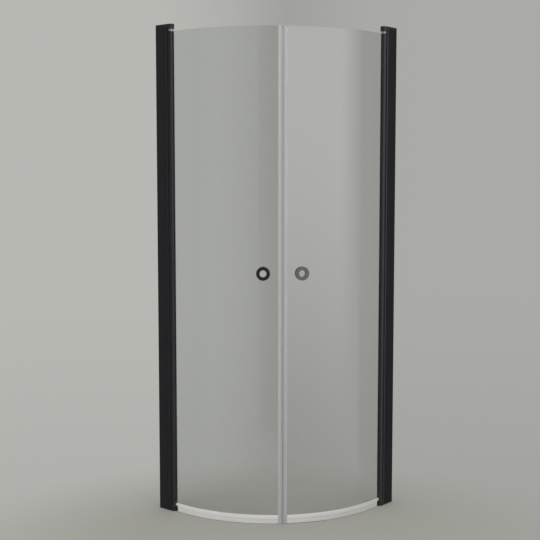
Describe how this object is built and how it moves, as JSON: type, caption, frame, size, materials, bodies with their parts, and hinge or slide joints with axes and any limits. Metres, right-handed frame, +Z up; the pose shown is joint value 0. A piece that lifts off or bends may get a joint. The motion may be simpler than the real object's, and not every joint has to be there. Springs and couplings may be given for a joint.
{
  "type": "corner shower enclosure",
  "caption": "Quadrant corner shower enclosure: curved glass doors meet at a magnetic seam, swing out on wall profiles and rise on cams as they open.",
  "frame": {"origin": "middle of the 700 mm square of floor that the enclosure covers, at floor level; the room corner is at (-0.35, +0.35) m", "axes": "+Z up; the left profile is fastened to the wall plane x = -0.35 m and the right profile to the wall plane y = +0.35 m; the doors bulge towards +X and -Y"},
  "size_m": [0.7, 0.7, 2],
  "materials": {
    "black_profile": "satin black anodised extrusion",
    "black_cap": "satin black powder coat on cast zinc",
    "black_knob": "satin black coated brass",
    "black_plastic": "moulded, matt",
    "screw_steel": "stainless, turned",
    "spindle_steel": "stainless, ground bright",
    "bearing_plastic": "moulded acetal",
    "clear_glass": "toughened, polished edges",
    "grey_plastic": "moulded grey acetal",
    "black_gasket": "extruded black rubber",
    "milky_seal": "milky translucent vinyl extrusion",
    "magnet_rubber": "magnetic rubber strip",
    "black_rubber": "soft washer"
  },
  "bodies": {
    "root": {"left_wall_channel": "black_profile", "left_hinge_carrier": "black_profile", "left_lock_screws": "screw_steel", "left_screw_covers": "black_plastic", "left_top_cap": "black_cap", "left_bottom_cap": "black_cap", "left_cap_screws": "screw_steel", "left_top_bush": "bearing_plastic", "left_bottom_bush": "bearing_plastic", "left_lower_cam": "bearing_plastic", "left_thrust_ring": "grey_plastic", "right_wall_channel": "black_profile", "right_hinge_carrier": "black_profile", "right_lock_screws": "screw_steel", "right_screw_covers": "black_plastic", "right_top_cap": "black_cap", "right_bottom_cap": "black_cap", "right_cap_screws": "screw_steel", "right_top_bush": "bearing_plastic", "right_bottom_bush": "bearing_plastic", "right_lower_cam": "bearing_plastic", "right_thrust_ring": "grey_plastic"},
    "left_spindle": {"left_top_spindle": "spindle_steel", "left_bottom_spindle": "spindle_steel"},
    "right_spindle": {"right_top_spindle": "spindle_steel", "right_bottom_spindle": "spindle_steel"},
    "left_door": {"left_hinge_tube": "black_profile", "left_upper_plug": "bearing_plastic", "left_lower_plug": "bearing_plastic", "left_plug_screws": "screw_steel", "left_upper_cam": "bearing_plastic", "left_glass": "clear_glass", "left_glass_gasket": "black_gasket", "left_edge_seal": "milky_seal", "left_magnet_strip": "magnet_rubber", "left_drip_seal": "milky_seal", "left_knob_outer": "black_knob", "left_knob_inner": "black_knob", "left_knob_washers": "black_rubber", "left_knob_sleeve": "bearing_plastic", "left_knob_screw": "screw_steel"},
    "right_door": {"right_hinge_tube": "black_profile", "right_upper_plug": "bearing_plastic", "right_lower_plug": "bearing_plastic", "right_plug_screws": "screw_steel", "right_upper_cam": "bearing_plastic", "right_glass": "clear_glass", "right_glass_gasket": "black_gasket", "right_edge_seal": "milky_seal", "right_magnet_strip": "magnet_rubber", "right_drip_seal": "milky_seal", "right_knob_outer": "black_knob", "right_knob_inner": "black_knob", "right_knob_washers": "black_rubber", "right_knob_sleeve": "bearing_plastic", "right_knob_screw": "screw_steel"}
  },
  "joints": [
    {"name": "left_swing", "type": "hinge", "parent": "root", "child": "left_spindle", "pos_m": [-0.277, -0.336, 1], "axis": [0, 0, -1], "range_deg": [0, 100]},
    {"name": "left_rise", "type": "slide", "parent": "left_spindle", "child": "left_door", "axis": [0, 0, 1], "range_m": [0, 0.008]},
    {"name": "right_swing", "type": "hinge", "parent": "root", "child": "right_spindle", "pos_m": [0.336, 0.277, 1], "axis": [0, 0, 1], "range_deg": [0, 100]},
    {"name": "right_rise", "type": "slide", "parent": "right_spindle", "child": "right_door", "axis": [0, 0, 1], "range_m": [0, 0.008]}
  ],
  "couplings": [
    {"joint": "left_rise", "follows": "left_swing", "m_per_rad": 0.0045836},
    {"joint": "right_rise", "follows": "right_swing", "m_per_rad": 0.0045836}
  ]
}
